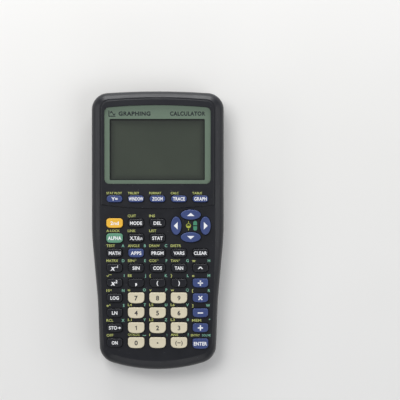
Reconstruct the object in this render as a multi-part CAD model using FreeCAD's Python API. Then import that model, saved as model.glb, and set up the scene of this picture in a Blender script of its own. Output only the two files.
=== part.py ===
import FreeCAD, Part
import math
import os

# Handheld graphing calculator, modelled as it is moulded and assembled.
# Millimetres. The row frame has +Z up: the calculator lies on its back with the
# face up, +Y points to the display end, X is its width. The origin is the centre
# of the footprint, on the plane of the four moulded rest pads.
#
# The case is a wedge: it is thicker at the display end. Everything that belongs to
# the face (front cover, keys, window, board) is drawn in a face frame, whose XY
# plane is the keypad surface, and is then turned by the wedge angle. The rear
# cover's floor, the battery bay, its door and the cells are parallel to the table.

V = FreeCAD.Vector

# ---------------------------------------------------------------- driving sizes
LENGTH = 184.0            # case, bottom end to display end
WIDTH = 87.2              # case, at its wide upper half
WEDGE = 0.025             # rise of the face per mm of length
FLOOR_MID = 19.7          # keypad surface to back surface at mid length
PAD_H = 0.6               # moulded rest pads under the back

PART_Z = -9.5             # parting plane, in the face frame
WALL = 2.0                # case wall
PLATEAU = 0.8             # the display section stands this much above the keypad

COL = 14.1                # key pitch across
ROW = 9.85                # key pitch along
ROW0_Y = -73.6            # bottom key row
GRAPH_Y = 21.2            # top key row, under the display
KEY_TOP = 2.0             # key tops above the keypad surface
GRAPH_TOP = 2.5           # tops of the display-section keys
GAP = 0.2                 # clearance round each key
FLANGE = 0.65             # retaining flange, wider than the key on each side
FLANGE_T = 0.9
TRAVEL = 1.0              # key travel

ARROW_X, ARROW_Y = 21.85, 3.35
ARROW_REACH = 7.4         # to the upper and lower ovals
ARROW_SIDE = 9.6          # to the left and right ovals

WIN_X, WIN_Y0, WIN_Y1 = 31.2, 33.5, 73.4      # visible display
LENS_W, LENS_Y0, LENS_Y1 = 35.05, 30.95, 81.15  # window lens, before its bowed top
LENS_BOW = 1.7
LENS_T = 0.9

CELL_D, CELL_L = 10.5, 44.5
CELL_X = [-16.5, -5.5, 5.5, 16.5]
BAY_X, BAY_Y0, BAY_Y1 = 22.4, 36.0, 85.0
DOOR_X, DOOR_Y0, DOOR_T = 24.0, 34.0, 1.6

SCREWS = [(37.0, 83.3), (-37.0, 83.3), (37.7, -14.0), (-37.7, -14.0), (26.0, -82.8), (-26.0, -82.8)]
BOARD_SCREWS = [(32.4, 14.8), (-31.6, 13.4), (7.05, -29.28), (-7.05, -58.8)]

JACK_Z = -10.3            # link socket axis, in the face frame
JACK_R = 1.3
JACK_Y = -90.8            # its mouth
JACK_L = 12.0

# ---------------------------------------------------------------- frames
TILT = math.atan(WEDGE)
FLOOR_Z = PAD_H           # back surface, in the row frame


def to_row(shape):
    """From the face frame to the row frame."""
    s = shape.copy()
    s.rotate(V(0, 0, 0), V(1, 0, 0), math.degrees(TILT))
    s.translate(V(0, SHIFT_Y, FLOOR_MID * math.cos(TILT) + FLOOR_Z))
    return s


SHIFT_Y = -0.24           # keeps the case centred on the origin after the turn


# ---------------------------------------------------------------- outlines
def outline(points, z):
    """A closed wire of straight runs and tangent arcs. points: (x, y, corner radius) of the
    right half from the bottom centre to the top centre; the left half mirrors it."""
    pts = list(points) + [(-x, y, r) for x, y, r in reversed(points[1:-1])]
    n = len(pts)
    tangents = []
    for i in range(n):
        a, b, c = (V(*pts[(i + k) % n][:2], 0) for k in (-1, 0, 1))
        r = pts[i][2]
        u, w = (a - b).normalize(), (c - b).normalize()
        half = math.acos(max(-1, min(1, u.dot(w)))) / 2
        t = r / math.tan(half)
        mid = (u + w).normalize()
        centre = b + mid * (r / math.sin(half))
        tangents.append((b + u * t, centre - mid * r, b + w * t))
    edges = []
    for i in range(n):
        s, m, e = tangents[i]
        up = V(0, 0, z)
        edges.append(Part.Arc(s + up, m + up, e + up).toShape())
        nxt = tangents[(i + 1) % n][0]
        edges.append(Part.LineSegment(e + up, nxt + up).toShape())
    return Part.Wire(edges)


CASE = [(0, -96.12, 101), (38.3, -85.07, 12), (39.75, -46.0, 150), (WIDTH / 2, -3.0, 170),
        (WIDTH / 2, 90.22, 11), (0, 93.07, 500)]
CREASE = [(0, -89.9, 101), (35.3, -79.7, 9), (36.7, -46.0, 160), (38.0, -8.0, 300),
          (38.0, 86.2, 6.2), (0, 89.1, 370)]


def mix(a, b, t):
    return [tuple(p + (q - p) * t for p, q in zip(u, v)) for u, v in zip(a, b)]


def inset(points, d):
    """The same outline moved in by d: each straight run moves, and the arcs keep their centres."""
    full = list(points) + [(-x, y, r) for x, y, r in reversed(points[1:-1])]
    n = len(full)
    out = []
    for i in range(len(points)):
        a, b, c = full[(i - 1) % n], full[i], full[(i + 1) % n]
        e1, e2 = V(b[0] - a[0], b[1] - a[1], 0), V(c[0] - b[0], c[1] - b[1], 0)
        e1.normalize(), e2.normalize()
        n1, n2 = V(-e1.y, e1.x, 0), V(-e2.y, e2.x, 0)
        p1, p2 = V(b[0], b[1], 0) + n1 * d, V(b[0], b[1], 0) + n2 * d
        cross = e1.x * e2.y - e1.y * e2.x
        t = ((p2.x - p1.x) * e2.y - (p2.y - p1.y) * e2.x) / cross if abs(cross) > 1e-9 else 0
        q = p1 + e1 * t
        r = b[2] - d if cross > 0 else b[2] + d
        out.append((q.x, q.y, max(r, 0.6)))
    return out


def prism(points, z0, z1):
    return Part.Face(outline(points, z0)).extrude(V(0, 0, z1 - z0))


def loft(sections, ruled=False):
    return Part.makeLoft([outline(p, z) for p, z in sections], True, ruled)


def box(x0, x1, y0, y1, z0, z1):
    return Part.makeBox(x1 - x0, y1 - y0, z1 - z0, V(x0, y0, z0))


def cyl(r, x, y, z0, z1):
    return Part.makeCylinder(r, z1 - z0, V(x, y, z0), V(0, 0, 1))


def cone(r0, r1, x, y, z0, z1):
    return Part.makeCone(r0, r1, z1 - z0, V(x, y, z0), V(0, 0, 1))


def fuse(shapes):
    return shapes[0].multiFuse(shapes[1:]).removeSplitter() if len(shapes) > 1 else shapes[0]


def level_edges(shape, z, tol=1e-4):
    return [e for e in shape.Edges if abs(e.BoundBox.ZMin - z) < tol and abs(e.BoundBox.ZMax - z) < tol]


def upright_edges(shape, min_len=0.1):
    out = []
    for e in shape.Edges:
        if len(e.Vertexes) != 2:
            continue
        a, b = e.Vertexes[0].Point, e.Vertexes[1].Point
        if abs(a.x - b.x) < 1e-6 and abs(a.y - b.y) < 1e-6 and abs(a.z - b.z) > min_len:
            out.append(e)
    return out


# ---------------------------------------------------------------- keys
# Outline of each key family: width, height, top corner radius, bottom corner radius,
# bow of the bottom edge, bow of the top edge.
FAMILY = {
    "graph": (10.2, 4.4, 1.95, 1.95, 0.2, 0.2),
    "shift": (10.75, 6.25, 1.9, 2.2, 0.35, 0.15),
    "function": (9.95, 5.55, 1.5, 2.1, 0.45, 0.0),
    "apps": (10.05, 5.65, 1.6, 2.1, 0.45, 0.0),
    "number": (10.75, 7.1, 1.5, 2.8, 0.85, 0.0),
    "operator": (10.1, 5.8, 1.4, 2.1, 0.45, 0.0),
    "enter": (10.3, 6.7, 1.4, 2.3, 0.7, 0.0),
}


def key_blank(family, x, y, z0, z1, grow=0.0):
    """The upright solid of a key's outline, grown by a clearance or flange."""
    if family in ("arrow_wide", "arrow_tall"):
        a, b = (6.6, 3.3) if family == "arrow_wide" else (5.95, 3.45)
        curve = Part.Ellipse(V(x, y, z0), a + grow, b + grow)
        wire = Part.Wire([curve.toShape()])
        solid = Part.Face(wire).extrude(V(0, 0, z1 - z0))
        if family == "arrow_tall":
            solid.rotate(V(x, y, 0), V(0, 0, 1), 90)
        return solid
    w, h, rt, rb, bow_b, bow_t = FAMILY[family]
    w, h, rt, rb = w + 2 * grow, h + 2 * grow, rt + grow, rb + grow
    x0, x1, y0, y1 = x - w / 2, x + w / 2, y - h / 2 + bow_b, y + h / 2 - bow_t
    p = [V(x0, y0, z0), V(x1, y0, z0), V(x1, y1, z0), V(x0, y1, z0)]

    def side(a, b, bow, sign):
        if bow <= 0:
            return Part.LineSegment(a, b).toShape()
        mid = (a + b) * 0.5 + V(0, sign * bow, 0)
        return Part.Arc(a, mid, b).toShape()

    wire = Part.Wire([side(p[0], p[1], bow_b, -1), Part.LineSegment(p[1], p[2]).toShape(),
                      side(p[2], p[3], bow_t, 1), Part.LineSegment(p[3], p[0]).toShape()])
    solid = Part.Face(wire).extrude(V(0, 0, z1 - z0))
    low = [e for e in upright_edges(solid) if e.Vertexes[0].Point.y < y]
    solid = solid.makeFillet(rb, low)
    high = [e for e in upright_edges(solid) if e.Vertexes[0].Point.y > y and
            min(abs(e.Vertexes[0].Point.x - x0), abs(e.Vertexes[0].Point.x - x1)) < 1e-3 and
            abs(e.Vertexes[0].Point.y - y1) < 1e-3]
    return solid.makeFillet(rt, high)


def make_key(family, x, y, top):
    """A hollow moulded cap with a dished top, a retaining flange and a centre post."""
    cap = key_blank(family, x, y, -WALL - 0.05, top + 0.8)
    if family in ("number", "enter"):
        dish_r, dish = 60.0, 0.22
    elif family in ("arrow_wide", "arrow_tall"):
        dish_r, dish = 70.0, 0.15
    elif family == "graph":
        dish_r, dish = 80.0, 0.12
    else:
        dish_r, dish = 60.0, 0.20
    ball = Part.makeSphere(dish_r, V(x, y, top + dish_r - dish))
    dished = cap.cut(ball)
    rim = [e for e in dished.Edges if e.BoundBox.ZMin > top - 0.8]
    fillet = 0.45 if family != "graph" else 0.4
    cap = dished.makeFillet(fillet, rim)
    flange = key_blank(family, x, y, -WALL - 0.05 - FLANGE_T, -WALL - 0.05, FLANGE)
    body = cap.fuse(flange)
    pocket = key_blank(family, x, y, -WALL - 0.05 - FLANGE_T - 1, top - 1.3, -1.05)
    post = cyl(1.5, x, y, -WALL - 0.05 - FLANGE_T, top - 0.9)
    return body.cut(pocket.cut(post)).removeSplitter()


def col(n):
    return (n - 3) * COL


def row(n):
    return ROW0_Y + n * ROW


KEYS = []                                    # name, family, x, y, top
for n, name in enumerate(["key_y_equals", "key_window", "key_zoom", "key_trace", "key_graph"]):
    KEYS.append((name, "graph", col(n + 1), GRAPH_Y, GRAPH_TOP))
KEYS += [("key_2nd", "shift", col(1), row(8), KEY_TOP), ("key_mode", "function", col(2), row(8), KEY_TOP),
         ("key_del", "function", col(3), row(8), KEY_TOP), ("key_alpha", "shift", col(1), row(7), KEY_TOP),
         ("key_variable", "function", col(2), row(7), KEY_TOP), ("key_stat", "function", col(3), row(7), KEY_TOP),
         ("key_arrow_up", "arrow_wide", ARROW_X, ARROW_Y + ARROW_REACH, KEY_TOP),
         ("key_arrow_down", "arrow_wide", ARROW_X, ARROW_Y - ARROW_REACH, KEY_TOP),
         ("key_arrow_left", "arrow_tall", ARROW_X - ARROW_SIDE, ARROW_Y + 0.15, KEY_TOP),
         ("key_arrow_right", "arrow_tall", ARROW_X + ARROW_SIDE, ARROW_Y + 0.15, KEY_TOP)]
GRID = [(6, ["key_math", "key_apps", "key_prgm", "key_vars", "key_clear"]),
        (5, ["key_inverse", "key_sin", "key_cos", "key_tan", "key_power"]),
        (4, ["key_square", "key_comma", "key_open_bracket", "key_close_bracket", "key_divide"]),
        (3, ["key_log", "key_7", "key_8", "key_9", "key_multiply"]),
        (2, ["key_ln", "key_4", "key_5", "key_6", "key_minus"]),
        (1, ["key_store", "key_1", "key_2", "key_3", "key_plus"]),
        (0, ["key_on", "key_0", "key_point", "key_negative", "key_enter"])]
for r, names in GRID:
    for n, name in enumerate(names):
        family = "function"
        if name[4:] in "0123456789" or name in ("key_point", "key_negative"):
            family = "number"
        elif name in ("key_divide", "key_multiply", "key_minus", "key_plus"):
            family = "operator"
        elif name == "key_apps":
            family = "apps"
        elif name == "key_enter":
            family = "enter"
        KEYS.append((name, family, col(n + 1), row(r) - (0.6 if family == "enter" else 0.0), KEY_TOP))


# ---------------------------------------------------------------- window lens outline
def lens_blank(z0, z1, grow=0.0):
    w, y0, y1 = LENS_W + grow, LENS_Y0 - grow, LENS_Y1 + grow
    p = [V(-w, y0, z0), V(w, y0, z0), V(w, y1, z0), V(-w, y1, z0)]
    wire = Part.Wire([Part.LineSegment(p[0], p[1]).toShape(), Part.LineSegment(p[1], p[2]).toShape(),
                      Part.Arc(p[2], V(0, y1 + LENS_BOW, z0), p[3]).toShape(), Part.LineSegment(p[3], p[0]).toShape()])
    solid = Part.Face(wire).extrude(V(0, 0, z1 - z0))
    return solid.makeFillet(3.4 + grow, upright_edges(solid))


def rounded_box(x0, x1, y0, y1, z0, z1, r):
    b = box(x0, x1, y0, y1, z0, z1)
    return b.makeFillet(r, upright_edges(b))


# ---------------------------------------------------------------- front cover
def front_cover():
    profile = [(0.0, -6.6), (0.03, -5.6), (0.09, -4.6), (0.17, -3.7), (0.27, -2.95), (0.38, -2.3), (0.50, -1.75),
               (0.94, -0.17), (1.0, 0.0)]
    shoulder = loft([(mix(CASE, CREASE, t), z) for t, z in profile], True)
    wall = prism(CASE, PART_Z, -6.6)
    outer = wall.fuse(shoulder)
    # the display section: a low plateau whose lower edge bows down in the middle
    plateau = prism(inset(CREASE, 0.95), -0.5, PLATEAU)
    keep_r = 260.0
    cutter = Part.makeCylinder(keep_r, 4, V(0, 14.6 + keep_r, -1.5), V(0, 0, 1))
    plateau = plateau.common(cutter)
    try:
        plateau = plateau.makeFillet(0.5, level_edges(plateau, PLATEAU))
    except Exception:
        print("plateau fillet skipped")
    outer = outer.fuse(plateau)
    # hollow, with an even wall
    cavity = prism(inset(CASE, WALL), PART_Z - 1, -6.4)
    dome = loft([(inset(CASE, WALL), -6.4), (inset(mix(CASE, CREASE, 0.75), 0.9), -WALL)], True)
    shell = outer.cut(cavity.fuse(dome))
    # locating lip inside the rear cover's rim
    lip = prism(inset(CASE, 1.15), PART_Z - 1.3, PART_Z + 0.01).cut(prism(inset(CASE, WALL), PART_Z - 2, PART_Z + 1))
    adds = [lip]
    for x, y in SCREWS:
        adds.append(cyl(2.7, x, y, PART_Z, -2.5))
    for x, y in BOARD_SCREWS:
        adds.append(cyl(1.6, x, y, -5.95, -WALL + 0.2))
    # rim that frames the display module from inside
    rim = rounded_box(-35.0, 35.0, 30.2, 81.6, -5.6, -WALL + 0.2, 1.5).cut(
        rounded_box(-33.95, 33.95, 31.05, 80.6, -6, -1, 1.0))
    adds.append(rim)
    shell = shell.multiFuse(adds)
    cuts = [lens_blank(PLATEAU - LENS_T - 0.05, PLATEAU + 2, 0.12),
            rounded_box(-WIN_X - 0.7, WIN_X + 0.7, WIN_Y0 - 0.7, WIN_Y1 + 0.7, -8, 3, 1.2),
            rounded_box(-33.95, 33.95, 31.05, 80.6, -8, -1.2, 1.0)]
    for name, family, x, y, top in KEYS:
        cuts.append(key_blank(family, x, y, -4, 3, GAP))
        # softened rim
        face = PLATEAU if family == "graph" else 0.0
        rim = key_blank(family, x, y, face - 0.18, face + 0.5, GAP + 0.18)
        cuts.append(rim.makeChamfer(0.1799, level_edges(rim, face - 0.18)))
    for x, y in SCREWS:
        cuts.append(cyl(1.02, x, y, PART_Z - 1, -3.6))
        cuts.append(cone(1.5, 1.02, x, y, PART_Z - 0.001, PART_Z + 0.5))
    for x, y in BOARD_SCREWS:
        cuts.append(cyl(0.82, x, y, -6.5, -2.8))
    cuts.append(Part.makeCylinder(3.3, 8, V(0, -95, JACK_Z), V(0, 1, 0)))
    shell = shell.cut(cuts)
    return shell


# ---------------------------------------------------------------- rear cover and battery door
def rear_outer():
    """The rear cover's outside as a full solid, in the row frame."""
    tapered = loft([(CASE, PART_Z), (CASE, PART_Z - 3.2), (inset(CASE, 2.2), -27.0)], True)
    s = to_row(tapered)
    s = s.cut(box(-60, 60, -120, 120, -20, FLOOR_Z))
    rim = [e for e in s.Edges if abs(e.BoundBox.ZMin - FLOOR_Z) < 1e-3 and abs(e.BoundBox.ZMax - FLOOR_Z) < 1e-3]
    return s.makeFillet(3.6, rim)


def rear_inner():
    tapered = loft([(inset(CASE, WALL), PART_Z + 1), (inset(CASE, WALL), PART_Z - 3.2), (inset(CASE, 4.2), -27.0)], True)
    s = to_row(tapered)
    s = s.cut(box(-60, 60, -120, 120, -20, FLOOR_Z + WALL))
    rim = [e for e in s.Edges if abs(e.BoundBox.ZMin - FLOOR_Z - WALL) < 1e-3 and
           abs(e.BoundBox.ZMax - FLOOR_Z - WALL) < 1e-3]
    return s.makeFillet(1.8, rim)


GROOVE_LO, GROOVE_HI = FLOOR_Z + 0.75, FLOOR_Z + DOOR_T + 0.12


def rear_cover(outer, inner):
    shell = outer.cut(inner)
    # keep everything below the parting plane
    lid = to_row(box(-60, 60, -120, 120, PART_Z, PART_Z + 20))
    adds = []
    # battery bay: four walls, a ceiling and the rails that hold the door
    top = FLOOR_Z + DOOR_T + 0.25 + CELL_D + 0.3
    bay = box(-BAY_X - 1.2, BAY_X + 1.2, BAY_Y0 - 1.2, BAY_Y1 + 1.2, FLOOR_Z + 1.0, top + 1.1)
    rails = box(-27.2, 27.2, 30.8, 88.6, FLOOR_Z + 1.0, FLOOR_Z + 4.0)
    adds.append(rails)
    for x, y in SCREWS:
        adds.append(to_row(cyl(3.3, x, y, -23, PART_Z)).cut(box(-60, 60, -120, 120, -20, FLOOR_Z + 0.8)))
    # board supports
    for x, y in [(-30, -52), (30, -52), (-30, 20), (30, 24), (-14.1, -28.6), (14.1, -78.5)]:
        adds.append(to_row(cyl(1.4, x, y, -21, -7.85)).cut(box(-60, 60, -120, 120, -20, FLOOR_Z + 0.8)))
    # stiffening ribs across the floor
    for y in (-66, -40, -8):
        adds.append(box(-32, 32, y - 0.6, y + 0.6, FLOOR_Z + 1.0, FLOOR_Z + 4.2))
    shell = shell.multiFuse(adds)
    shell = shell.cut(lid).fuse(bay)
    # moulded rest pads
    pads = [cyl(4.0, x, y, 0.0, FLOOR_Z + 0.5) for x, y in [(34.5, 64.0), (-34.5, 64.0), (28.5, -70.0), (-28.5, -70.0)]]
    pads = [p.makeFillet(0.25, level_edges(p, 0.0)) for p in pads]
    shell = shell.multiFuse(pads)
    cuts = [box(-BAY_X, BAY_X, BAY_Y0, BAY_Y1, -5, top),
            box(-DOOR_X - 0.15, DOOR_X + 0.15, DOOR_Y0 - 0.15, 120, -5, GROOVE_LO + 0.01),
            box(-DOOR_X - 1.35, DOOR_X + 1.35, DOOR_Y0 - 1.55, 120, GROOVE_LO, GROOVE_HI)]
    # shallow panel for a rating label
    cuts.append(rounded_box(-26.0, 26.0, -35.5, -12.5, -1, FLOOR_Z + 0.35, 2.5))
    # joint rebate for the front cover's lip
    ring = prism(inset(CASE, 1.0), PART_Z - 1.45, PART_Z + 1)
    cuts.append(to_row(ring).cut(to_row(prism(inset(CASE, 3.2), PART_Z - 5, PART_Z + 5))))
    for x, y in SCREWS:
        cuts.append(to_row(cyl(1.12, x, y, -30, PART_Z + 2)))
        cuts.append(to_row(cyl(2.15, x, y, -30, -12.4)))
    # slots in the bay's end walls for the contact tails
    for x in (-CELL_X[3], CELL_X[3]):
        cuts.append(box(x - 1.6, x + 1.6, BAY_Y0 - 2, BAY_Y0 + 0.5, 7.0, 11.0))
    cuts.append(to_row(Part.makeCylinder(3.3, 8, V(0, -95, JACK_Z), V(0, 1, 0))))
    # rail grooves for a slide-on cover, along both long sides
    band = to_row(prism(inset(CASE, -3), PART_Z - 3.7, PART_Z - 2.0).cut(prism(inset(CASE, 1.1), PART_Z - 8, PART_Z)))
    cuts.append(band.common(box(-60, 60, -66, 74, 0, 40)))
    return shell.cut(cuts)


def battery_cover(outer):
    """Cut from the same outside as the rear cover, so that the two are flush."""
    plate = box(-DOOR_X, DOOR_X, DOOR_Y0, 120, -5, FLOOR_Z + DOOR_T)
    tongue = box(-DOOR_X - 1.2, DOOR_X + 1.2, DOOR_Y0 - 1.4, 120, GROOVE_LO + 0.12, FLOOR_Z + DOOR_T)
    door = outer.common(plate.fuse(tongue))
    # thumb recess with grip ridges
    recess = Part.Face(Part.Wire([Part.Ellipse(V(0, 72, -1), 9.5, 6.5).toShape()])).extrude(V(0, 0, 1 + FLOOR_Z + 0.75))
    ridges = [box(-7.5, 7.5, 72 + d - 0.45, 72 + d + 0.45, FLOOR_Z, FLOOR_Z + 0.8) for d in (-3.6, -1.2, 1.2, 3.6)]
    ridge = ridges[0].multiFuse(ridges[1:]).common(
        Part.Face(Part.Wire([Part.Ellipse(V(0, 72, -1), 8.3, 5.6).toShape()])).extrude(V(0, 0, 5)))
    arrow = Part.Face(Part.makePolygon([V(-3.4, 57.5, -1), V(3.4, 57.5, -1), V(0, 61.8, -1), V(-3.4, 57.5, -1)]))
    door = door.cut([recess, arrow.extrude(V(0, 0, 1 + FLOOR_Z + 0.4))]).fuse(ridge)
    return door.removeSplitter()


# ---------------------------------------------------------------- inside
def display_window():
    lens = lens_blank(PLATEAU - LENS_T, PLATEAU - 0.02, -0.02)
    return lens.makeFillet(0.25, level_edges(lens, PLATEAU - 0.02))


def lcd_module():
    frame = rounded_box(-33.8, 33.8, 31.2, 80.4, -4.9, -1.25, 0.8)
    frame = frame.cut([rounded_box(-WIN_X - 0.5, WIN_X + 0.5, WIN_Y0 - 0.5, WIN_Y1 + 0.5, -1.8, 0, 0.6),
                       box(-33.0, 33.0, 32.2, 76.0, -3.25, -1.5)])
    glass = box(-32.9, 32.9, 32.3, 75.9, -3.2, -1.55)
    # printed circuit behind the glass, and the ribbon down to the main board
    board = box(-33.0, 33.0, 32.0, 79.6, -5.0, -4.92)
    ribbon = box(-13, 13, 27.2, 34.0, -5.78, -5.63).fuse(box(-13, 13, 33.85, 34.0, -5.78, -5.02))
    tail = box(-13, 13, 27.2, 27.45, -6.05, -5.75).fuse(box(-13, 13, 27.2, 29.0, -6.05, -5.92))
    return Part.makeCompound([frame, glass, board, ribbon.fuse(tail).removeSplitter()])


BOARD_Z0, BOARD_Z1 = -7.7, -6.1


def keypad_membrane():
    sheet = prism(inset(CASE, 7.6), BOARD_Z1, BOARD_Z1 + 1.0).common(box(-60, 60, -79.6, 26.6, -20, 5))
    cuts, domes = [], []
    for name, family, x, y, top in KEYS:
        pts = [(0, -3.02), (1.7, -3.02), (2.5, -5.1), (2.9, -5.1), (2.9, -6.1), (2.1, -6.1), (2.1, -5.3), (1.25, -3.9),
               (1.25, -5.5), (0, -5.5)]
        wire = Part.makePolygon([V(px, 0, pz) for px, pz in pts + [pts[0]]])
        dome = Part.Face(wire).revolve(V(0, 0, 0), V(0, 0, 1), 360)
        dome.translate(V(x, y, 0))
        domes.append(dome)
        cuts.append(cyl(2.6, x, y, -7, -4))
    for x, y in BOARD_SCREWS:
        cuts.append(cyl(2.1, x, y, -7, -4))
    for x, y in SCREWS:
        cuts.append(cyl(3.2, x, y, -7, -4))
    return sheet.cut(cuts).multiFuse(domes).removeSplitter()


def main_board():
    board = prism(inset(CASE, 4.6), BOARD_Z0, BOARD_Z1).common(box(-60, 60, -86.0, 29.4, -20, 5))
    cuts = [cyl(3.75, x, y, -9, -5) for x, y in SCREWS] + [cyl(1.05, x, y, -9, -5) for x, y in BOARD_SCREWS]
    board = board.cut(cuts)
    parts = [board]

    def chip(x, y, w, h, t):
        body = box(x - w / 2, x + w / 2, y - h / 2, y + h / 2, BOARD_Z0 - t, BOARD_Z0 - 0.1)
        body = body.makeChamfer(0.25, level_edges(body, BOARD_Z0 - t))
        pins = []
        n = int((h - 1.6) / 1.1)
        for i in range(n):
            py = y - (n - 1) * 0.55 + i * 1.1
            for s in (-1, 1):
                ex = x + s * w / 2
                a, b = sorted((ex - s * 0.3, ex + s * 0.9))
                pins.append(box(a, b, py - 0.2, py + 0.2, BOARD_Z0 - 0.22, BOARD_Z0))
        return body.multiFuse(pins).removeSplitter()

    parts += [chip(4, 8, 14, 14, 1.5), chip(-16, -12, 11.8, 17, 1.2), chip(14, -22, 8.4, 13, 1.2), chip(18, 12, 5, 7, 1.2)]
    # coin cell for the memory back-up, held by a sheet clip
    coin = Part.makeCylinder(8.0, 1.6, V(-20, 12, BOARD_Z0 - 1.95), V(0, 0, 1))
    parts.append(coin)
    clip = box(-23, -17, 2.6, 21.4, BOARD_Z0 - 2.35, BOARD_Z0 - 2.0).multiFuse(
        [box(-23, -17, 2.6, 3.0, BOARD_Z0 - 2.35, BOARD_Z0), box(-23, -17, 21.0, 21.4, BOARD_Z0 - 2.35, BOARD_Z0)])
    parts.append(clip.removeSplitter())
    # crystal and capacitors
    parts.append(Part.makeCylinder(1.0, 6.0, V(12, -4, BOARD_Z0 - 1.05), V(0, 1, 0)))
    for x, y in [(24, -6), (-2, -34), (-22, -38)]:
        parts.append(Part.makeCylinder(2.0, 5.0, V(x, y, BOARD_Z0 - 5.0), V(0, 0, 1)))
    # link socket at the bottom edge
    jack = box(-3.2, 3.2, -88.6, JACK_Y + JACK_L + 1.2, JACK_Z - 2.55, BOARD_Z0)
    jack = jack.fuse(Part.makeCylinder(2.55, 3.0, V(0, JACK_Y, JACK_Z), V(0, 1, 0)))
    jack = jack.cut(Part.makeCylinder(JACK_R, JACK_L, V(0, JACK_Y, JACK_Z), V(0, 1, 0)))
    parts.append(jack.removeSplitter())
    return Part.makeCompound(parts)


CELL_Z = FLOOR_Z + DOOR_T + 0.25 + CELL_D / 2
CELL_Y0 = 38.4            # low end of each cell body


def aaa_cells():
    """Four AAA cells side by side, each the other way round from its neighbour."""
    made = []
    for i, x in enumerate(CELL_X):
        can = Part.makeCylinder(CELL_D / 2, CELL_L - 1.2, V(x, 0, CELL_Z), V(0, 1, 0))
        can = can.makeFillet(0.5, [e for e in can.Edges if e.BoundBox.YLength < 1e-6])
        nub = Part.makeCylinder(1.9, 1.2, V(x, CELL_L - 1.2, CELL_Z), V(0, 1, 0))
        nub = nub.makeFillet(0.25, [e for e in nub.Edges if abs(e.BoundBox.YMin - CELL_L) < 1e-6 and e.BoundBox.YLength < 1e-6])
        ring = Part.makeCylinder(3.6, 0.001 + 0.3, V(x, CELL_L - 1.25, CELL_Z), V(0, 1, 0))
        cell = can.multiFuse([nub, ring]).removeSplitter()
        if i % 2 == 0:
            cell.translate(V(0, CELL_Y0, 0))
        else:
            cell.rotate(V(x, 0, CELL_Z), V(0, 0, 1), 180)
            cell.translate(V(0, BAY_Y1 - (CELL_Y0 - BAY_Y0), 0))
        made.append(cell)
    return Part.makeCompound(made)


def battery_contacts():
    """Positive plates, coil springs on the negative ends, and two tails up to the board."""
    made = []
    t = 0.35
    for i, x in enumerate(CELL_X):
        up = i % 2 == 0          # True: positive end at +Y
        ends = [(BAY_Y1, 1), (BAY_Y0, -1)]
        (py, ps), (ny, ns) = (ends[0], ends[1]) if up else (ends[1], ends[0])
        plate = box(x - 3.6, x + 3.6, min(py, py - ps * t), max(py, py - ps * t), CELL_Z - 3.8, CELL_Z + 3.8)
        reach = abs(py - (CELL_Y0 + CELL_L if up else BAY_Y1 - (CELL_Y0 - BAY_Y0) - CELL_L)) - 0.02
        a, b = sorted((py, py - ps * reach))
        bump = Part.makeCylinder(1.7, b - a, V(x, a, CELL_Z), V(0, 1, 0))
        made.append(plate.fuse(bump).removeSplitter())
        base = box(x - 3.6, x + 3.6, min(ny, ny - ns * t), max(ny, ny - ns * t), CELL_Z - 3.8, CELL_Z + 3.8)
        gap = CELL_Y0 - BAY_Y0 - t
        # conical coil, wound in the gap between the plate and the cell's base
        wire_r, turns = 0.32, 2.5
        pitch = (gap - 2 * wire_r - 0.08) / turns
        helix = Part.makeHelix(pitch, pitch * turns, 3.1, -10)
        prof = Part.Wire([Part.Circle(V(3.1, 0, 0), V(0, 1, 0), wire_r).toShape()])
        coil = Part.Wire(helix).makePipeShell([prof], True, True)
        coil.rotate(V(0, 0, 0), V(1, 0, 0), 90 if ns > 0 else -90)
        coil.translate(V(x, ny - ns * (t + wire_r + 0.02), CELL_Z))
        made += [base, coil]
    for s in (-1, 1):
        x = s * CELL_X[3]
        tail = box(x - 1.2, x + 1.2, BAY_Y0 - 3.0, BAY_Y0, 8.2, 8.2 + t).multiFuse(
            [box(x - 1.2, x + 1.2, BAY_Y0 - 3.0, BAY_Y0 - 3.0 + t, 8.2, 13.2),
             box(x - 1.2, x + 1.2, BAY_Y0 - 9.0, BAY_Y0 - 3.0 + t, 13.2 - t, 13.2)])
        made.append(tail.removeSplitter())
    return Part.makeCompound(made)


def screw(x, y, z_head, length, r, head_r, head_h):
    """A self-tapping screw pointing up, with a cross recess in its head."""
    head = Part.makeCylinder(head_r, head_h, V(x, y, z_head - head_h), V(0, 0, 1))
    head = head.makeFillet(head_h * 0.35, level_edges(head, z_head - head_h))
    shank = cyl(r, x, y, z_head, z_head + length - r)
    tip = cone(r, r * 0.35, x, y, z_head + length - r, z_head + length)
    body = head.multiFuse([shank, tip]).removeSplitter()
    w = head_r * 0.28
    cross = box(x - head_r * 0.62, x + head_r * 0.62, y - w / 2, y + w / 2, z_head - head_h - 1, z_head - head_h * 0.45)
    cross = cross.fuse(box(x - w / 2, x + w / 2, y - head_r * 0.62, y + head_r * 0.62, z_head - head_h - 1,
                           z_head - head_h * 0.45))
    return body.cut(cross)


def screws():
    made = [screw(x, y, -12.42, 8.6, 1.0, 1.95, 1.3) for x, y in SCREWS]
    made += [screw(x, y, BOARD_Z0 - 0.02, 4.4, 0.8, 1.6, 1.0) for x, y in BOARD_SCREWS]
    return Part.makeCompound(made)


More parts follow.
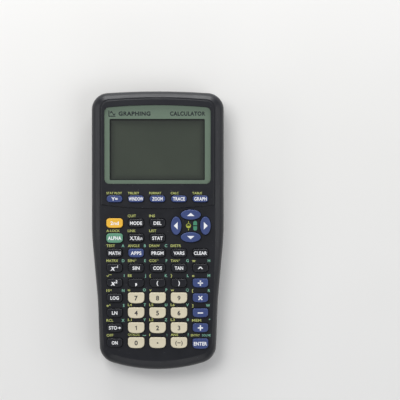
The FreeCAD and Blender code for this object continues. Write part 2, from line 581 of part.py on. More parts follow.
# ---------------------------------------------------------------- write
def main():
    os.makedirs("parts", exist_ok=True)
    for old in os.listdir("parts"):
        if old.endswith(".step"):
            os.remove(os.path.join("parts", old))
    outer, inner = rear_outer(), rear_inner()
    nodes = {
        "front_cover": to_row(front_cover()),
        "rear_cover": rear_cover(outer, inner),
        "battery_cover": battery_cover(outer),
        "display_window": to_row(display_window()),
        "lcd_module": to_row(lcd_module()),
        "keypad_membrane": to_row(keypad_membrane()),
        "main_board": to_row(main_board()),
        "aaa_cells": aaa_cells(),
        "battery_contacts": battery_contacts(),
        "screws": to_row(screws()),
    }
    for name, family, x, y, top in KEYS:
        nodes[name] = to_row(make_key(family, x, y, top))
    lo, hi = V(1e9, 1e9, 1e9), V(-1e9, -1e9, -1e9)
    for name, shape in nodes.items():
        solids = shape.Solids
        good = all(s.isValid() and s.isClosed() and s.Volume > 0 for s in solids)
        if not good or not solids:
            print("BAD", name, [(s.isValid(), s.isClosed(), round(s.Volume, 2)) for s in solids])
        b = shape.BoundBox
        lo = V(min(lo.x, b.XMin), min(lo.y, b.YMin), min(lo.z, b.ZMin))
        hi = V(max(hi.x, b.XMax), max(hi.y, b.YMax), max(hi.z, b.ZMax))
        if not name.startswith("key_") or name == "key_7":
            print(name, "solids", len(solids), "volume", round(sum(s.Volume for s in solids), 1))
        (solids[0] if len(solids) == 1 else Part.makeCompound(solids)).exportStep(f"parts/{name}.step")
    print("nodes", len(nodes), "box", [round(v, 2) for v in (*lo, *hi)])


main()
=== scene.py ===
import bpy
import bmesh
import math
from mathutils import Matrix, Vector


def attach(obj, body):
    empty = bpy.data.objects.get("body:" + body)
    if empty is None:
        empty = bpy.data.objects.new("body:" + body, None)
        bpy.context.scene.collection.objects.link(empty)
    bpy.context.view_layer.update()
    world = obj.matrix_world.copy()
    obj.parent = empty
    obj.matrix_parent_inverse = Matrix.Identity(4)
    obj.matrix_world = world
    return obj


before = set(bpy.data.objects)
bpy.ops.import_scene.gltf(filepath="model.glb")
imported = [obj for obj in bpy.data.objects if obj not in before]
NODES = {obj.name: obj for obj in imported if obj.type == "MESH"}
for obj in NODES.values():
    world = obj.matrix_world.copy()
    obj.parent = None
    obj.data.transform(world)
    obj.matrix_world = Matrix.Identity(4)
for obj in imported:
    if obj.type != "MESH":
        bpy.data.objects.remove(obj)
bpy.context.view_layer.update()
MM = 0.001

# ------------------------------------------------------------------ the face frame, as the CAD has it
WEDGE, FLOOR_MID, FLOOR_Z, SHIFT_Y = 0.025, 19.7, 0.6, -0.24
TILT = math.atan(WEDGE)
C, S = math.cos(TILT), math.sin(TILT)
PLATEAU, LENS_T = 0.8, 0.9
COL, ROW, ROW0_Y, GRAPH_Y = 14.1, 9.85, -73.6, 21.2
KEY_TOP, GRAPH_TOP = 2.0, 2.5
ARROW_X, ARROW_Y, ARROW_REACH, ARROW_SIDE = 21.85, 3.35, 7.4, 9.6
WIN_X, WIN_Y0, WIN_Y1 = 31.2, 33.5, 73.4
LENS_W, LENS_Y0, LENS_Y1, LENS_BOW = 35.05, 30.95, 81.15, 1.7


def row(x, y, z):
    """Face frame in millimetres to the row frame in metres."""
    return Vector((x, y * C - z * S + SHIFT_Y, y * S + z * C + FLOOR_MID * C + FLOOR_Z)) * MM


def face(p):
    """Row frame in metres to the face frame in millimetres."""
    x, y, z = p.x / MM, p.y / MM - SHIFT_Y, p.z / MM - FLOOR_MID * C - FLOOR_Z
    return x, y * C + z * S, -y * S + z * C


# ------------------------------------------------------------------ materials
def lin(r, g, b):
    def one(v):
        v /= 255
        return v / 12.92 if v <= 0.04045 else ((v + 0.055) / 1.055) ** 2.4
    return one(r), one(g), one(b), 1.0


def scaled(c, k):
    return tuple(min(1.0, v * k) for v in c[:3]) + (1.0,)


class Graph:
    """A short way to write a node material."""

    def __init__(self, name):
        self.mat = bpy.data.materials.new(name)
        self.mat.use_nodes = True
        self.tree = self.mat.node_tree
        self.tree.nodes.clear()
        self.out = self.node("ShaderNodeOutputMaterial")
        self.bsdf = self.node("ShaderNodeBsdfPrincipled")
        self.link(self.bsdf.outputs[0], self.out.inputs[0])
        self.place = self.node("ShaderNodeTexCoord").outputs["Object"]

    def node(self, kind, **values):
        n = self.tree.nodes.new(kind)
        for k, v in values.items():
            setattr(n, k, v)
        return n

    def link(self, a, b):
        self.tree.links.new(a, b)

    def noise(self, scale, detail=3.0, rough=0.55, distortion=0.0, where=None):
        n = self.node("ShaderNodeTexNoise")
        n.inputs["Scale"].default_value = scale
        n.inputs["Detail"].default_value = detail
        n.inputs["Roughness"].default_value = rough
        n.inputs["Distortion"].default_value = distortion
        self.link(where or self.place, n.inputs["Vector"])
        return n.outputs["Fac"]

    def ramp(self, fac, stops, interpolation="LINEAR"):
        n = self.node("ShaderNodeValToRGB")
        n.color_ramp.interpolation = interpolation
        e = n.color_ramp.elements
        while len(e) < len(stops):
            e.new(0.5)
        for el, (p, c) in zip(e, stops):
            el.position, el.color = p, c
        self.link(fac, n.inputs[0])
        return n.outputs[0]

    def span(self, fac, lo, hi, a=0.0, b=1.0):
        n = self.node("ShaderNodeMapRange")
        for k, v in (("From Min", a), ("From Max", b), ("To Min", lo), ("To Max", hi)):
            n.inputs[k].default_value = v
        self.link(fac, n.inputs["Value"])
        return n.outputs[0]

    def math(self, op, a, b=0.0, c=None):
        n = self.node("ShaderNodeMath", operation=op)
        for i, v in enumerate((a, b) if c is None else (a, b, c)):
            if isinstance(v, (int, float)):
                n.inputs[i].default_value = v
            else:
                self.link(v, n.inputs[i])
        return n.outputs[0]

    def axes(self):
        n = self.node("ShaderNodeSeparateXYZ")
        self.link(self.place, n.inputs[0])
        return n.outputs

    def mix(self, fac, a, b):
        n = self.node("ShaderNodeMix", data_type="RGBA")
        for socket, v in ((n.inputs[0], fac), (n.inputs[6], a), (n.inputs[7], b)):
            if isinstance(v, (tuple, list)):
                socket.default_value = v
            elif isinstance(v, (int, float)):
                socket.default_value = v
            else:
                self.link(v, socket)
        return n.outputs[2]

    def bump(self, heights, strength=0.3, distance=0.00004):
        """heights: one height socket, or several (socket, distance), finest last."""
        last = None
        for h, d in heights if isinstance(heights, list) else [(heights, distance)]:
            n = self.node("ShaderNodeBump")
            n.inputs["Strength"].default_value = strength
            n.inputs["Distance"].default_value = d
            self.link(h, n.inputs["Height"])
            if last is not None:
                self.link(last, n.inputs["Normal"])
            last = n.outputs[0]
        self.link(last, self.bsdf.inputs["Normal"])

    def set(self, **values):
        for k, v in values.items():
            self.bsdf.inputs[k.replace("_", " ")].default_value = v
        return self


def plastic(name, colour, rough, grain=0.00003, grain_scale=3000, mottle=0.07, strength=0.35, dust=0.0, **sockets):
    """Moulded plastic: slow colour drift, fine moulded grain, a little variation in gloss."""
    g = Graph(name)
    slow = g.noise(55, 4, 0.6)
    fine = g.noise(grain_scale, 2, 0.5)
    mid = g.noise(420, 3, 0.6)
    base = g.ramp(slow, [(0.28, scaled(colour, 1 - mottle)), (0.5, colour), (0.74, scaled(colour, 1 + mottle))])
    base = g.mix(g.span(mid, 0.0, 0.16, 0.35, 0.75), base, scaled(colour, 1 + 2.2 * mottle))
    if dust:
        specks = g.noise(900, 1, 0.3)
        base = g.mix(g.span(specks, 0.0, dust, 0.74, 0.80), base, lin(150, 152, 158))
    g.link(base, g.bsdf.inputs["Base Color"])
    g.link(g.span(g.math("ADD", g.math("MULTIPLY", slow, 0.6), g.math("MULTIPLY", mid, 0.4)), rough - 0.06, rough + 0.07,
                  0.3, 0.7), g.bsdf.inputs["Roughness"])
    g.bump([(mid, grain * 1.2), (fine, grain)], strength)
    return g.set(**sockets).mat


BLACK = lin(27, 28, 33)
M = {
    "case": plastic("case_plastic", BLACK, 0.40, grain=0.00005, grain_scale=2600, dust=0.10, Specular_IOR_Level=0.36),
    "rear": plastic("rear_plastic", lin(29, 30, 35), 0.5, grain=0.00009, grain_scale=2000, strength=0.5,
                    Specular_IOR_Level=0.40),
    "door": plastic("door_plastic", lin(30, 31, 36), 0.5, grain=0.00009, grain_scale=2000, strength=0.5,
                    Specular_IOR_Level=0.40),
    "key_black": plastic("key_black_plastic", lin(30, 31, 36), 0.32, mottle=0.06, Specular_IOR_Level=0.38),
    "key_blue": plastic("key_blue_plastic", lin(60, 74, 122), 0.36, mottle=0.05, Specular_IOR_Level=0.40),
    "key_ivory": plastic("key_ivory_plastic", lin(213, 204, 178), 0.40, mottle=0.025),
    "key_yellow": plastic("key_yellow_plastic", lin(236, 183, 60), 0.36, mottle=0.03),
    "key_green": plastic("key_green_plastic", lin(94, 147, 120), 0.36, mottle=0.04),
    "ink_white": plastic("ink_white", lin(238, 239, 240), 0.55, mottle=0.03),
    "ink_dark": plastic("ink_dark", lin(40, 40, 44), 0.6, mottle=0.06),
    "ink_yellow": plastic("ink_yellow", lin(190, 196, 112), 0.6, mottle=0.05),
    "ink_lime": plastic("ink_lime", lin(184, 192, 72), 0.6, mottle=0.05),
    "ink_green": plastic("ink_green", lin(126, 184, 160), 0.6, mottle=0.05),
    "ink_teal": plastic("ink_teal", lin(74, 150, 114), 0.6, mottle=0.05),
    "ink_navy": plastic("ink_navy", lin(20, 26, 34), 0.5, mottle=0.06),
    "border": plastic("window_print", lin(119, 139, 120), 0.5, mottle=0.03, grain=0.00001),
    "membrane": plastic("silicone", lin(150, 153, 150), 0.62, mottle=0.05, Subsurface_Weight=0.08),
    "bezel": plastic("display_frame", lin(26, 27, 30), 0.5, mottle=0.06),
    "chip": plastic("chip_epoxy", lin(30, 30, 32), 0.55, mottle=0.06, grain=0.00006),
    "jack": plastic("jack_plastic", lin(24, 24, 26), 0.45, mottle=0.06),
}


def metal(name, colour, rough, streak=(1, 1, 1), scale=900, strength=0.2):
    g = Graph(name)
    m = g.node("ShaderNodeMapping")
    m.inputs["Scale"].default_value = streak
    g.link(g.place, m.inputs["Vector"])
    brushed = g.noise(scale, 4, 0.6, where=m.outputs[0])
    slow = g.noise(120, 3)
    base = g.ramp(slow, [(0.3, scaled(colour, 0.86)), (0.7, scaled(colour, 1.08))])
    g.link(base, g.bsdf.inputs["Base Color"])
    g.link(g.span(brushed, rough - 0.08, rough + 0.1, 0.3, 0.7), g.bsdf.inputs["Roughness"])
    g.bump(brushed, strength, 0.00002)
    return g.set(Metallic=1.0).mat


M["nickel"] = metal("nickel_plate", lin(196, 194, 186), 0.3)
M["screw"] = metal("blackened_steel", lin(92, 92, 96), 0.4)
M["copper"] = metal("soldered_tin", lin(188, 184, 172), 0.38)


def board_material():
    g = Graph("board_mask")
    x, y, z = g.axes()
    # etched tracks under the mask: fine lines that wander along both axes
    bend = g.noise(160, 2)
    tx = g.math("SINE", g.math("MULTIPLY", g.math("ADD", x, g.math("MULTIPLY", bend, 0.004)), 3900.0))
    ty = g.math("SINE", g.math("MULTIPLY", g.math("ADD", y, g.math("MULTIPLY", bend, 0.005)), 3300.0))
    pick = g.math("GREATER_THAN", g.noise(95, 1), 0.5)
    track = g.math("GREATER_THAN", g.math("ADD", g.math("MULTIPLY", tx, pick),
                                          g.math("MULTIPLY", ty, g.math("SUBTRACT", 1.0, pick))), 0.35)
    patch = g.math("GREATER_THAN", g.noise(60, 2), 0.46)
    on = g.math("MULTIPLY", track, patch)
    g.link(g.mix(on, lin(26, 84, 52), lin(46, 118, 74)), g.bsdf.inputs["Base Color"])
    g.link(g.span(g.noise(300, 3), 0.28, 0.42), g.bsdf.inputs["Roughness"])
    g.bump(on, 0.5, 0.00003)
    return g.set(Coat_Weight=0.3, Coat_Roughness=0.2).mat


def ribbon_material():
    g = Graph("flex_ribbon")
    x, y, z = g.axes()
    lines = g.math("GREATER_THAN", g.math("SINE", g.math("MULTIPLY", x, 6283.0)), 0.1)
    g.link(g.mix(lines, lin(176, 112, 48), lin(206, 150, 84)), g.bsdf.inputs["Base Color"])
    g.link(g.span(g.noise(400), 0.3, 0.45), g.bsdf.inputs["Roughness"])
    g.bump(lines, 0.4, 0.00002)
    return g.mat


def cell_material():
    """A printed sleeve with a band at the positive end and bare ends; neighbours face opposite ways."""
    g = Graph("cell_sleeve")
    x, y, z = g.axes()
    way = g.math("SIGN", g.math("SINE", g.math("MULTIPLY", g.math("ADD", x, 0.022), math.pi / 0.011)))
    along = g.math("MULTIPLY", g.math("SUBTRACT", y, 0.0605), way)
    body = g.ramp(g.noise(80, 3), [(0.3, lin(38, 40, 46)), (0.7, lin(48, 50, 58))])
    band = g.ramp(g.noise(130, 3), [(0.3, lin(186, 120, 62)), (0.7, lin(204, 140, 78))])
    sleeve = g.mix(g.math("GREATER_THAN", along, 0.0105), body, band)
    stripe = g.math("LESS_THAN", g.math("ABSOLUTE", g.math("SUBTRACT", along, 0.0085)), 0.0006)
    sleeve = g.mix(stripe, sleeve, lin(206, 206, 204))
    bare = g.math("GREATER_THAN", g.math("ABSOLUTE", along), 0.0209)
    g.link(g.mix(bare, sleeve, lin(200, 198, 192)), g.bsdf.inputs["Base Color"])
    g.link(g.math("MULTIPLY", bare, 0.95), g.bsdf.inputs["Metallic"])
    g.link(g.span(g.noise(500, 3), 0.22, 0.36), g.bsdf.inputs["Roughness"])
    g.bump(g.noise(900, 2), 0.1, 0.00002)
    return g.set(Coat_Weight=0.2, Coat_Roughness=0.15).mat


def glass_material():
    """The reflective display glass: grey-green, a dark surround painted as the frame's shadow line, painted shade along
    its edges, and a faint grid of picture cells.
    """
    g = Graph("display_glass")
    x, y, z = g.axes()
    cx, cy = 0.0, (WIN_Y0 + WIN_Y1) / 2 * MM * C + SHIFT_Y * MM
    ax = g.math("ABSOLUTE", g.math("SUBTRACT", x, cx))
    ay = g.math("ABSOLUTE", g.math("SUBTRACT", y, cy))
    # painted shade: outside this mask the glass gets a dark surround, a painted shadow line under the frame
    inside = g.math("MULTIPLY", g.math("LESS_THAN", ax, (WIN_X - 0.75) * MM),
                    g.math("LESS_THAN", ay, ((WIN_Y1 - WIN_Y0) / 2 - 0.75) * MM))
    # painted shade: the colour darkens softly towards the edge, standing in for the shadow of the raised frame
    edge = g.math("MINIMUM", g.math("SUBTRACT", (WIN_X - 0.75) * MM, ax),
                  g.math("SUBTRACT", ((WIN_Y1 - WIN_Y0) / 2 - 0.75) * MM, ay))
    painted_edge_shade = g.span(edge, 0.0, 1.0, 0.0, 0.0035)
    field = g.ramp(g.noise(38, 3), [(0.3, lin(65, 73, 62)), (0.7, lin(70, 78, 66))])
    # painted shade: near the edge the field blends into a darker green
    field = g.mix(painted_edge_shade, lin(55, 61, 53), field)
    gx = g.math("FRACT", g.math("DIVIDE", x, 0.00062))
    gy = g.math("FRACT", g.math("DIVIDE", y, 0.00060))
    line = g.math("MAXIMUM", g.math("LESS_THAN", gx, 0.1), g.math("LESS_THAN", gy, 0.1))
    field = g.mix(g.math("MULTIPLY", line, 0.10), field, lin(50, 56, 49))
    # painted shade: the dark colour outside the field is the frame's painted shadow line
    g.link(g.mix(inside, lin(32, 35, 32), field), g.bsdf.inputs["Base Color"])
    g.link(g.span(g.noise(240, 2), 0.36, 0.46), g.bsdf.inputs["Roughness"])
    g.bump(g.noise(2600, 2), 0.08, 0.00001)
    return g.mat


def lens_material():
    """A clear hard-coated window: almost nothing but its gloss is seen."""
    g = Graph("clear_window_plastic")
    haze = g.noise(70, 4)
    g.link(g.ramp(haze, [(0.3, lin(24, 26, 25)), (0.7, lin(30, 32, 31))]), g.bsdf.inputs["Base Color"])
    g.link(g.span(g.noise(300, 3), 0.10, 0.18, 0.3, 0.7), g.bsdf.inputs["Roughness"])
    g.bump(g.noise(45, 2), 0.05, 0.00005)
    return g.set(Alpha=0.10, IOR=1.49, Specular_IOR_Level=0.8).mat


M["board"] = board_material()
M["ribbon"] = ribbon_material()
M["cell"] = cell_material()
M["glass"] = glass_material()
M["lens"] = lens_material()


def dress(node, *names):
    me = NODES[node].data
    me.materials.clear()
    for n in names:
        me.materials.append(M[n])
    return me


def dress_by(node, names, pick):
    """Gives each face of a CAD node the material that pick(centre in the face frame, normal) names."""
    me = dress(node, *names)
    for p in me.polygons:
        p.material_index = names.index(pick(face(p.center), p.normal))


FAMILIES = {"key_blue": ["y_equals", "window", "zoom", "trace", "graph", "arrow_up", "arrow_down", "arrow_left",
                         "arrow_right", "apps", "divide", "multiply", "minus", "plus", "enter"],
            "key_ivory": list("0123456789") + ["point", "negative"], "key_yellow": ["2nd"], "key_green": ["alpha"]}
finish_of = {"key_" + n: fam for fam, ns in FAMILIES.items() for n in ns}
for n in NODES:
    if n.startswith("key_"):
        dress(n, finish_of.get(n, "key_black"))
dress("front_cover", "case")
dress("rear_cover", "rear")
dress("battery_cover", "door")
dress("display_window", "lens")
dress("keypad_membrane", "membrane")
dress("aaa_cells", "cell")
dress("battery_contacts", "nickel")
dress("screws", "screw")


def display_part(c, n):
    x, y, z = c
    if z < -5.01 and abs(x) < 14:
        return "ribbon"
    if -5.01 < z < -4.91 and abs(x) < 33.01 and 31.99 < y < 79.61 and not (z > -4.905 and abs(n.z) > 0.5):
        return "board"
    if -3.21 < z < -1.54 and abs(x) < 32.95 and 32.25 < y < 75.95:
        return "glass"
    return "bezel"


def board_part(c, n):
    x, y, z = c
    if z > -7.705:
        return "board" if y > -86.05 else "jack"
    if abs(x) < 3.3 and y < -76.5:
        return "jack"
    for cx, cy, w, h in ((4, 8, 14, 14), (-16, -12, 11.8, 17), (14, -22, 8.4, 13), (18, 12, 5, 7)):
        if abs(x - cx) < w / 2 + 0.01 and abs(y - cy) < h / 2 + 0.3 and z < -7.79:
            return "chip"
    return "board" if abs(z + 7.7) < 0.003 and n.z < -0.5 else "copper"


dress_by("lcd_module", ["bezel", "glass", "ribbon", "board"], display_part)
dress_by("main_board", ["board", "chip", "copper", "jack"], board_part)

# ------------------------------------------------------------------ printed marks
THICK = 0.03              # how far ink stands proud, in millimetres


def surface(kind, x, y, cx=0.0, cy=0.0):
    """Height of the printed surface, in the face frame, in millimetres."""
    if kind == "keypad":
        return 0.0
    if kind == "plateau":
        return PLATEAU
    top, r, dish = kind
    d2 = (x - cx) ** 2 + (y - cy) ** 2
    return top + r - dish - math.sqrt(r * r - d2)


def slab(loops):
    """A closed flat piece from an outline and its holes, from z -1 to z 1."""
    tmp = bmesh.new()
    edges = []
    for pts in loops:
        vs = [tmp.verts.new((px, py, -1)) for px, py in pts]
        edges += [tmp.edges.new((vs[i], vs[(i + 1) % len(vs)])) for i in range(len(vs))]
    bmesh.ops.triangle_fill(tmp, edges=edges, use_beauty=True)
    low = list(tmp.faces)
    if len(loops) > 1:
        for f in low:
            c = f.calc_center_median()
            if any(inside_loop(c.x, c.y, hole) for hole in loops[1:]):
                tmp.faces.remove(f)
        low = list(tmp.faces)
    grown = bmesh.ops.extrude_face_region(tmp, geom=low, use_keep_orig=True)
    for v in grown["geom"]:
        if isinstance(v, bmesh.types.BMVert):
            v.co.z = 1
    bmesh.ops.recalc_face_normals(tmp, faces=tmp.faces)
    return tmp


def islands(tmp):
    """The separate pieces of a mesh as lists of vertices, from left to right."""
    seen, found = set(), []
    for v in tmp.verts:
        if v in seen:
            continue
        seen.add(v)
        piece, todo = [], [v]
        while todo:
            a = todo.pop()
            piece.append(a)
            for e in a.link_edges:
                b = e.other_vert(a)
                if b not in seen:
                    seen.add(b)
                    todo.append(b)
        found.append(piece)
    return sorted(found, key=lambda p: min(v.co.x for v in p))


def sound(piece):
    return all(len(e.link_faces) == 2 and e.is_contiguous for v in piece for e in v.link_edges)


def drawn(c, x0, x1, y0, y1, sw):
    """Letters that the font's thickened outline fills badly, drawn in the same box with stems sw wide."""
    w, h, xm, ym = x1 - x0, y1 - y0, (x0 + x1) / 2, (y0 + y1) / 2
    if c == "M":
        drop, tip = 1.7 * sw, y0 + 0.2 * h
        rise = (y1 - tip - drop) / (xm - x0 - 0.9 * sw)
        notch = tip + rise * (xm - x0 - sw)
        return [[(x0, y0), (x0 + sw, y0), (x0 + sw, notch), (xm, tip), (x1 - sw, notch), (x1 - sw, y0), (x1, y0), (x1, y1),
                 (x1 - 0.9 * sw, y1), (xm, tip + drop), (x0 + 0.9 * sw, y1), (x0, y1)]]
    if c == "π":
        bar, leg, inset = 0.9 * sw, 0.85 * sw, 0.16 * w
        return [[(x0, y1 - bar), (x0 + inset, y1 - bar), (x0 + inset, y0), (x0 + inset + leg, y0), (x0 + inset + leg, y1 - bar),
                 (x1 - inset - leg, y1 - bar), (x1 - inset - leg, y0), (x1 - inset, y0), (x1 - inset, y1 - bar),
                 (x1, y1 - bar), (x1, y1), (x0, y1)]]
    a, b, half = w / 2 - 0.9 * sw, h / 2 - 0.8 * sw, 0.36 * sw
    lift = math.asin(half / b)
    ring = [(xm + w / 2 * math.cos(2 * math.pi * i / 32), ym + h / 2 * math.sin(2 * math.pi * i / 32)) for i in range(32)]
    top = [(xm + a * math.cos(lift + (math.pi - 2 * lift) * i / 14), ym + b * math.sin(lift + (math.pi - 2 * lift) * i / 14))
           for i in range(15)]
    return [ring, top, [(px, 2 * ym - py) for px, py in reversed(top)]]


class Print:
    """Collects flat marks and turns them into one closed mesh, a thin raised layer of ink."""

    def __init__(self):
        self.bm = bmesh.new()

    def _lay(self, verts, kind, cx, cy, lift):
        for v in verts:
            x, y, w = v.co
            z = surface(kind, x, y, cx, cy) if kind != "lens" else 0.0
            z += lift + (THICK if w > 0 else -0.02)
            v.co = row(x, y, z)

    def text(self, s, x, y, cap, kind="keypad", cx=0.0, cy=0.0, align="CENTER", bold=0.0, width=None, lift=0.0,
             narrow=1.0, res=3, track=1.0, slant=0.0):
        me = self._typed(s, bold, res, track)
        xs = [v.co.x for v in me.vertices]
        x0, x1 = min(xs), max(xs)
        k = cap / 0.682
        kx = k * narrow
        if width is not None:
            kx = width / (x1 - x0)
        shift = {"LEFT": -x0, "RIGHT": -x1, "CENTER": -(x0 + x1) / 2}[align]
        tmp = bmesh.new()
        tmp.from_mesh(me)
        bpy.data.meshes.remove(me)
        for v in tmp.verts:
            lean = slant * (v.co.y - 0.341) * k
            v.co = Vector((x + (v.co.x + shift) * kx + lean, y + (v.co.y - 0.341) * k, v.co.z))
        bmesh.ops.remove_doubles(tmp, verts=tmp.verts, dist=1e-4)
        self._lay(tmp.verts, kind, cx, cy, lift)
        self._take(tmp)
        return (x1 - x0) * kx

    def _curve(self, s, bold, res, track):
        cu = bpy.data.curves.new("t", "FONT")
        cu.body, cu.size, cu.extrude, cu.resolution_u, cu.offset = s, 1.0, 0.05, res, bold
        cu.space_character = track
        ob = bpy.data.objects.new("t", cu)
        bpy.context.scene.collection.objects.link(ob)
        dg = bpy.context.evaluated_depsgraph_get()
        me = bpy.data.meshes.new_from_object(ob.evaluated_get(dg))
        bpy.data.objects.remove(ob)
        bpy.data.curves.remove(cu)
        tmp = bmesh.new()
        tmp.from_mesh(me)
        bpy.data.meshes.remove(me)
        bmesh.ops.remove_doubles(tmp, verts=tmp.verts, dist=1e-5)
        bmesh.ops.recalc_face_normals(tmp, faces=tmp.faces)
        return tmp

    def _typed(self, s, bold, res, track):
        """Text as a mesh. A letter whose thickened outline isn't a clean closed piece is drawn, or taken from a thinner version."""
        plain = s.replace("θ", "0").replace("π", "n")
        tmp = self._curve(plain, bold, res, track)
        pieces, new, old = islands(tmp), [], []
        word = s.replace(" ", "")
        if any(c in word for c in "Mθπ"):
            assert len(pieces) == len(word), s
            stem = self._curve("I", bold, res, track)
            sw = max(v.co.x for v in stem.verts) - min(v.co.x for v in stem.verts)
            stem.free()
            for c, piece in zip(word, pieces):
                if c in "Mθπ":
                    px, py = [v.co.x for v in piece], [v.co.y for v in piece]
                    new.append(slab(drawn(c, min(px), max(px), min(py), max(py), sw)))
                    old.append(piece)
        bad = [i for i, piece in enumerate(pieces) if not any(piece is p for p in old) and not sound(piece)]
        for f in (0.8, 0.6, 0.4, 0.2, 0.0):
            if not bad:
                break
            thin = self._curve(plain, bold * f, res, track)
            parts = islands(thin)
            if len(parts) == len(pieces):
                good = [i for i in bad if sound(parts[i])]
                keep = set(v for i in good for v in parts[i])
                bmesh.ops.delete(thin, geom=[v for v in thin.verts if v not in keep], context="VERTS")
                if good:
                    new.append(thin)
                    thin = None
                old += [pieces[i] for i in good]
                bad = [i for i in bad if i not in good]
            if thin:
                thin.free()
        for piece in old:
            bmesh.ops.delete(tmp, geom=piece, context="VERTS")
        for part in new:
            spare = bpy.data.meshes.new("spare")
            part.to_mesh(spare)
            part.free()
            tmp.from_mesh(spare)
            bpy.data.meshes.remove(spare)
        if bad:
            print("UNSOUND", s, bad)
        me = bpy.data.meshes.new("t")
        tmp.to_mesh(me)
        tmp.free()
        return me

    def shape(self, loops, kind="keypad", cx=0.0, cy=0.0, lift=0.0):
        """A filled outline, with holes if more than one loop is given."""
        tmp = slab(loops)
        self._lay(tmp.verts, kind, cx, cy, lift)
        self._take(tmp)

    def _take(self, tmp):
        me = bpy.data.meshes.new("tmp")
        tmp.to_mesh(me)
        tmp.free()
        self.bm.from_mesh(me)
        bpy.data.meshes.remove(me)

    def done(self, name, material, body):
        bmesh.ops.recalc_face_normals(self.bm, faces=self.bm.faces)
        me = bpy.data.meshes.new(name)
        self.bm.to_mesh(me)
        self.bm.free()
        me.materials.append(M[material])
        ob = bpy.data.objects.new(name, me)
        bpy.context.scene.collection.objects.link(ob)
        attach(ob, body)
        return ob


def inside_loop(x, y, loop):
    hit = False
    for (x0, y0), (x1, y1) in zip(loop, loop[1:] + loop[:1]):
        if (y0 > y) != (y1 > y) and x < (x1 - x0) * (y - y0) / (y1 - y0) + x0:
            hit = not hit
    return hit


def rect(cx, cy, w, h):
    return [(cx - w / 2, cy - h / 2), (cx + w / 2, cy - h / 2), (cx + w / 2, cy + h / 2), (cx - w / 2, cy + h / 2)]


def arc(cx, cy, r, a0, a1, n=18):
    return [(cx + r * math.cos(math.radians(a0 + (a1 - a0) * i / n)), cy + r * math.sin(math.radians(a0 + (a1 - a0) * i / n)))
            for i in range(n + 1)]


def col(n):
    return (n - 3) * COL


def row_y(n):
    return ROW0_Y + n * ROW


KEYS = {}
for i, k in enumerate(["y_equals", "window", "zoom", "trace", "graph"]):
    KEYS[k] = (col(i + 1), GRAPH_Y, (GRAPH_TOP, 80.0, 0.12))
SHIFT, FUNC = (KEY_TOP, 60.0, 0.20), (KEY_TOP, 60.0, 0.20)
NUMB, OVAL = (KEY_TOP, 60.0, 0.22), (KEY_TOP, 70.0, 0.15)
for i, k in enumerate(["2nd", "mode", "del"]):
    KEYS[k] = (col(i + 1), row_y(8), FUNC)
for i, k in enumerate(["alpha", "variable", "stat"]):
    KEYS[k] = (col(i + 1), row_y(7), FUNC)
KEYS["arrow_up"] = (ARROW_X, ARROW_Y + ARROW_REACH, OVAL)
KEYS["arrow_down"] = (ARROW_X, ARROW_Y - ARROW_REACH, OVAL)
KEYS["arrow_left"] = (ARROW_X - ARROW_SIDE, ARROW_Y + 0.15, OVAL)
KEYS["arrow_right"] = (ARROW_X + ARROW_SIDE, ARROW_Y + 0.15, OVAL)
GRID = [(6, ["math", "apps", "prgm", "vars", "clear"]), (5, ["inverse", "sin", "cos", "tan", "power"]),
        (4, ["square", "comma", "open_bracket", "close_bracket", "divide"]), (3, ["log", "7", "8", "9", "multiply"]),
        (2, ["ln", "4", "5", "6", "minus"]), (1, ["store", "1", "2", "3", "plus"]),
        (0, ["on", "0", "point", "negative", "enter"])]
for r, names in GRID:
    for i, k in enumerate(names):
        kind = NUMB if k in "0123456789" or k in ("point", "negative", "enter") else FUNC
        KEYS[k] = (col(i + 1), row_y(r) - (0.6 if k == "enter" else 0.0), kind)

# label on each key: text, cap height, width or None; every label gets the same boldness
WORDS = {
    "y_equals": ("Y=", 2.1, 4.2), "window": ("WINDOW", 2.1, 9.5), "zoom": ("ZOOM", 2.1, 7.0), "trace": ("TRACE", 2.1, 7.8),
    "graph": ("GRAPH", 2.1, 8.2), "2nd": ("2nd", 2.2, 5.5), "mode": ("MODE", 2.1, 7.9), "del": ("DEL", 2.1, 5.2),
    "alpha": ("ALPHA", 2.2, 8.8), "stat": ("STAT", 2.1, 7.0), "math": ("MATH", 2.1, 7.6), "apps": ("APPS", 2.1, 7.0),
    "prgm": ("PRGM", 2.1, 7.9), "vars": ("VARS", 2.1, 7.2), "clear": ("CLEAR", 2.1, 8.6), "sin": ("SIN", 2.1, 4.7),
    "cos": ("COS", 2.1, 5.8), "tan": ("TAN", 2.1, 5.6), "log": ("LOG", 2.1, 5.6), "ln": ("LN", 2.1, 3.6),
    "on": ("ON", 2.1, 3.9), "enter": ("ENTER", 2.2, 8.7)}


def ellipse(cx, cy, a, b, n=28):
    return [(cx + a * math.cos(2 * math.pi * i / n), cy + b * math.sin(2 * math.pi * i / n)) for i in range(n)]


